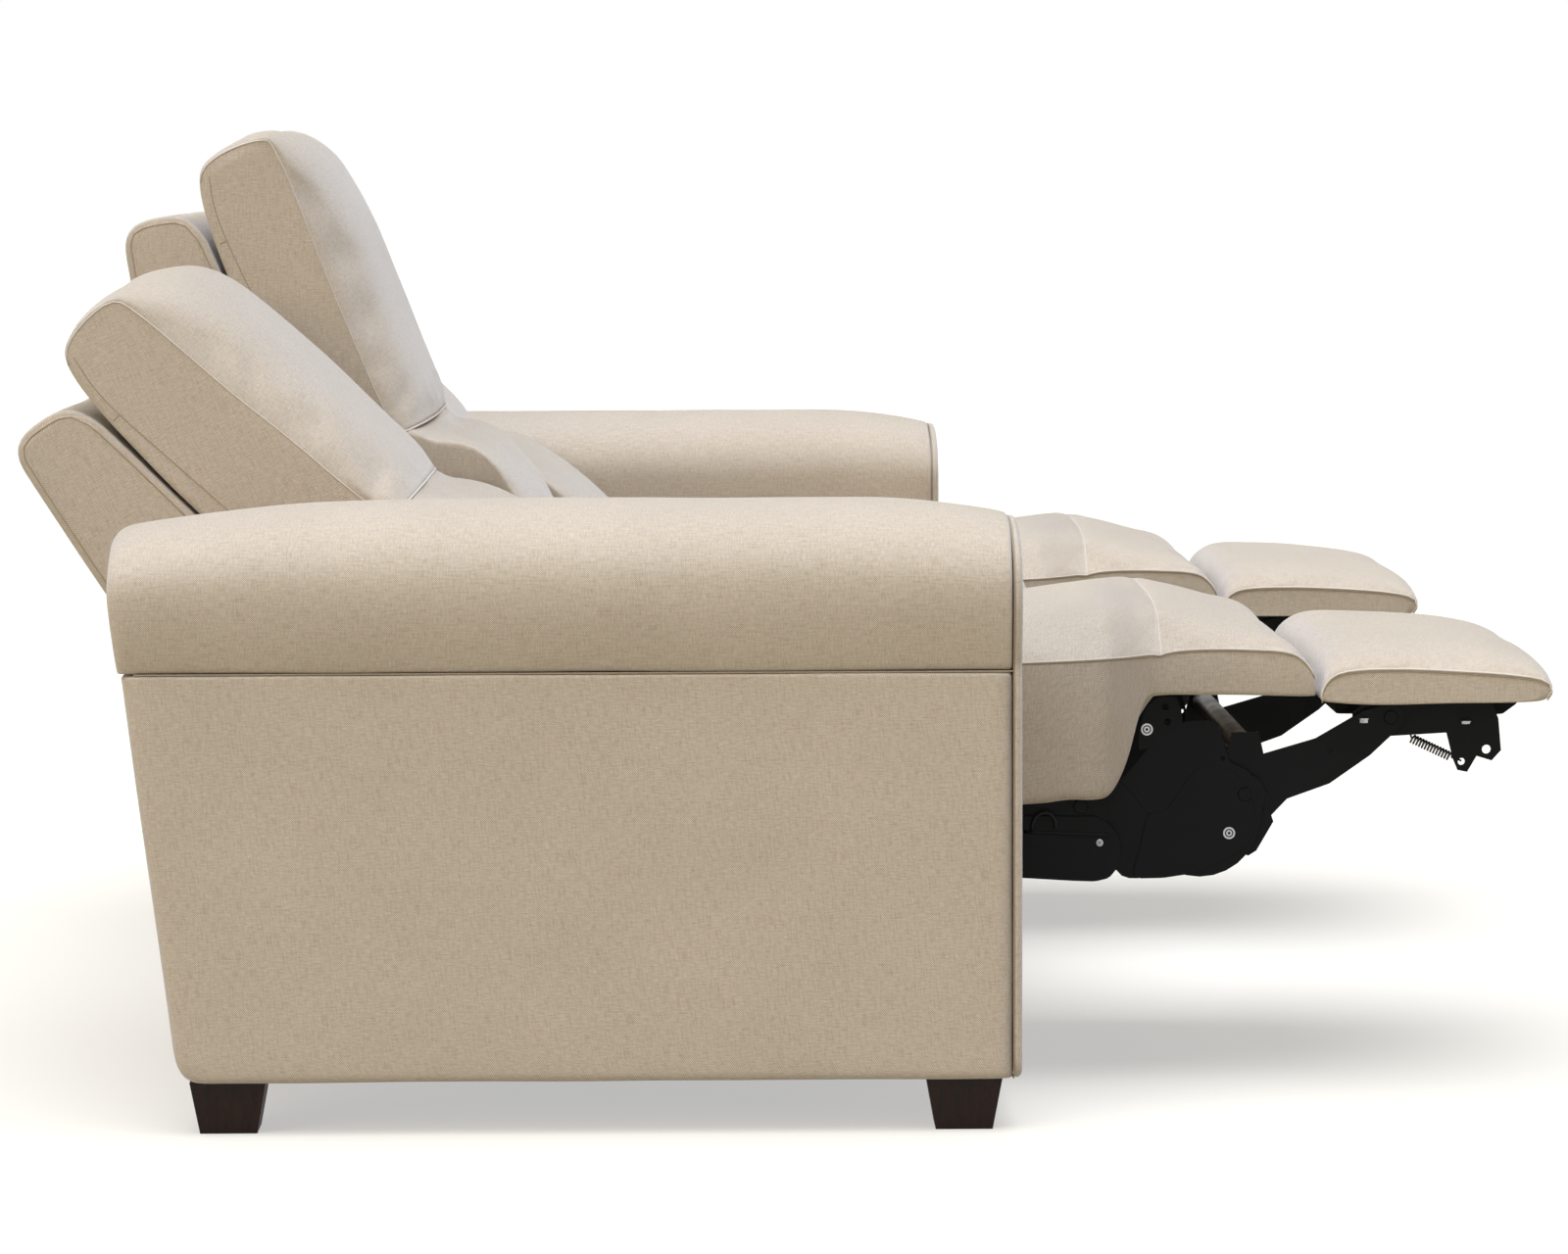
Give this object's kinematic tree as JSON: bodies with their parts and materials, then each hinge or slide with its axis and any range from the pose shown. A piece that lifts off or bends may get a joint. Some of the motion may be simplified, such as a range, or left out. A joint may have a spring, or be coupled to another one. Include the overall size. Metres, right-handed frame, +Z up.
{
  "type": "power reclining sofa",
  "caption": "Fabric sofa with rolled arms; its end seats recline on powered linkages with fold-out footrests, shown fully open around a fixed middle seat.",
  "frame": {"origin": "on the floor, under the middle of the sofa's box with both end seats open", "axes": "+X the way a sitter faces, +Y towards a sitter's left, +Z up"},
  "size_m": [1.615, 2.22, 1.0246],
  "materials": {
    "fabric": "cream and tan basket-weave upholstery",
    "dark_wood": "dark brown satin stain",
    "bare_wood": "bare plywood and pine",
    "black_steel": "black satin paint",
    "black_board": "black-faced board",
    "black_plastic": "moulded black plastic",
    "spring_steel": "bright zinc-plated wire"
  },
  "bodies": {
    "base": {"right_arm_panel": "fabric", "right_arm_roll": "fabric", "right_arm_facing": "fabric", "left_arm_panel": "fabric", "left_arm_roll": "fabric", "left_arm_facing": "fabric", "right_front_foot": "dark_wood", "right_rear_foot": "dark_wood", "left_front_foot": "dark_wood", "left_rear_foot": "dark_wood", "front_rail": "bare_wood", "rear_panel": "fabric", "right_divider": "bare_wood", "left_divider": "bare_wood", "power_gland": "black_plastic", "centre_seat_frame": "bare_wood", "centre_seat_cushion": "fabric", "centre_front_panel": "fabric", "centre_back_shell": "fabric", "centre_lumbar": "fabric", "centre_headrest": "fabric", "right_control_panel": "black_plastic", "left_control_panel": "black_plastic", "right_mech_base": "black_steel", "left_mech_base": "black_steel"},
    "right_seat": {"right_carriage": "black_steel", "right_seat_frame": "bare_wood", "right_seat_cushion": "fabric", "right_actuators": "black_plastic"},
    "right_back": {"right_back_shell": "fabric", "right_lumbar": "fabric", "right_back_bracket": "black_steel"},
    "right_head": {"right_headrest": "fabric"},
    "right_lift": {"right_lift_links": "black_steel"},
    "right_leg": {"right_foot_links": "black_steel"},
    "right_footrest": {"right_footrest_bracket": "black_steel", "right_footrest_board": "black_board", "right_footrest_pad": "fabric", "right_spring": "spring_steel"},
    "right_mid": {"right_mid_pad": "fabric"},
    "right_open": {"right_open_button": "black_plastic"},
    "right_close": {"right_close_button": "black_plastic"},
    "left_seat": {"left_carriage": "black_steel", "left_seat_frame": "bare_wood", "left_seat_cushion": "fabric", "left_actuators": "black_plastic"},
    "left_back": {"left_back_shell": "fabric", "left_lumbar": "fabric", "left_back_bracket": "black_steel"},
    "left_head": {"left_headrest": "fabric"},
    "left_lift": {"left_lift_links": "black_steel"},
    "left_leg": {"left_foot_links": "black_steel"},
    "left_footrest": {"left_footrest_bracket": "black_steel", "left_footrest_board": "black_board", "left_footrest_pad": "fabric", "left_spring": "spring_steel"},
    "left_mid": {"left_mid_pad": "fabric"},
    "left_open": {"left_open_button": "black_plastic"},
    "left_close": {"left_close_button": "black_plastic"}
  },
  "joints": [
    {"name": "right_seat_slide", "type": "slide", "parent": "base", "child": "right_seat", "axis": [1, 0, 0], "range_m": [-0.1575, 0]},
    {"name": "right_recline", "type": "hinge", "parent": "right_seat", "child": "right_back", "pos_m": [-0.1625, -0.56, 0.25], "axis": [0, 1, 0], "range_deg": [0, 23]},
    {"name": "right_headrest_tilt", "type": "hinge", "parent": "right_back", "child": "right_head", "pos_m": [-0.41032, -0.56, 0.61628], "axis": [0, 1, 0], "range_deg": [0, 25]},
    {"name": "right_lift_pivot", "type": "hinge", "parent": "right_seat", "child": "right_lift", "pos_m": [0.31, -0.56, 0.3], "axis": [0, 1, 0], "range_deg": [0, 148]},
    {"name": "right_knee_pivot", "type": "hinge", "parent": "right_lift", "child": "right_leg", "pos_m": [0.48462, -0.56, 0.3116], "axis": [0, 1, 0], "range_deg": [-131.7, 0]},
    {"name": "right_ankle_pivot", "type": "hinge", "parent": "right_leg", "child": "right_footrest", "pos_m": [0.63998, -0.56, 0.39213], "axis": [0, 1, 0], "range_deg": [0, 73.8]},
    {"name": "right_mid_pivot", "type": "hinge", "parent": "right_seat", "child": "right_mid", "pos_m": [0.4095, -0.56, 0.4615], "axis": [0, 1, 0], "range_deg": [0, 90.1]},
    {"name": "right_open_press", "type": "slide", "parent": "base", "child": "right_open", "axis": [0, -1, 0], "range_m": [0, 0.0015], "stiffness_N_per_m": 400},
    {"name": "right_close_press", "type": "slide", "parent": "base", "child": "right_close", "axis": [0, -1, 0], "range_m": [0, 0.0015], "stiffness_N_per_m": 400},
    {"name": "left_seat_slide", "type": "slide", "parent": "base", "child": "left_seat", "axis": [1, 0, 0], "range_m": [-0.1575, 0]},
    {"name": "left_recline", "type": "hinge", "parent": "left_seat", "child": "left_back", "pos_m": [-0.1625, 0.56, 0.25], "axis": [0, 1, 0], "range_deg": [0, 23]},
    {"name": "left_headrest_tilt", "type": "hinge", "parent": "left_back", "child": "left_head", "pos_m": [-0.41032, 0.56, 0.61628], "axis": [0, 1, 0], "range_deg": [0, 25]},
    {"name": "left_lift_pivot", "type": "hinge", "parent": "left_seat", "child": "left_lift", "pos_m": [0.31, 0.56, 0.3], "axis": [0, 1, 0], "range_deg": [0, 148]},
    {"name": "left_knee_pivot", "type": "hinge", "parent": "left_lift", "child": "left_leg", "pos_m": [0.48462, 0.56, 0.3116], "axis": [0, 1, 0], "range_deg": [-131.7, 0]},
    {"name": "left_ankle_pivot", "type": "hinge", "parent": "left_leg", "child": "left_footrest", "pos_m": [0.63998, 0.56, 0.39213], "axis": [0, 1, 0], "range_deg": [0, 73.8]},
    {"name": "left_mid_pivot", "type": "hinge", "parent": "left_seat", "child": "left_mid", "pos_m": [0.4095, 0.56, 0.4615], "axis": [0, 1, 0], "range_deg": [0, 90.1]},
    {"name": "left_open_press", "type": "slide", "parent": "base", "child": "left_open", "axis": [0, 1, 0], "range_m": [0, 0.0015], "stiffness_N_per_m": 400},
    {"name": "left_close_press", "type": "slide", "parent": "base", "child": "left_close", "axis": [0, 1, 0], "range_m": [0, 0.0015], "stiffness_N_per_m": 400}
  ],
  "couplings": [
    {"joint": "right_lift_pivot", "follows": "right_seat_slide", "rad_per_m": -16.39},
    {"joint": "right_knee_pivot", "follows": "right_seat_slide", "rad_per_m": 14.583},
    {"joint": "right_ankle_pivot", "follows": "right_seat_slide", "rad_per_m": -8.1671},
    {"joint": "right_mid_pivot", "follows": "right_seat_slide", "rad_per_m": -9.9733},
    {"joint": "left_lift_pivot", "follows": "left_seat_slide", "rad_per_m": -16.39},
    {"joint": "left_knee_pivot", "follows": "left_seat_slide", "rad_per_m": 14.583},
    {"joint": "left_ankle_pivot", "follows": "left_seat_slide", "rad_per_m": -8.1671},
    {"joint": "left_mid_pivot", "follows": "left_seat_slide", "rad_per_m": -9.9733}
  ]
}
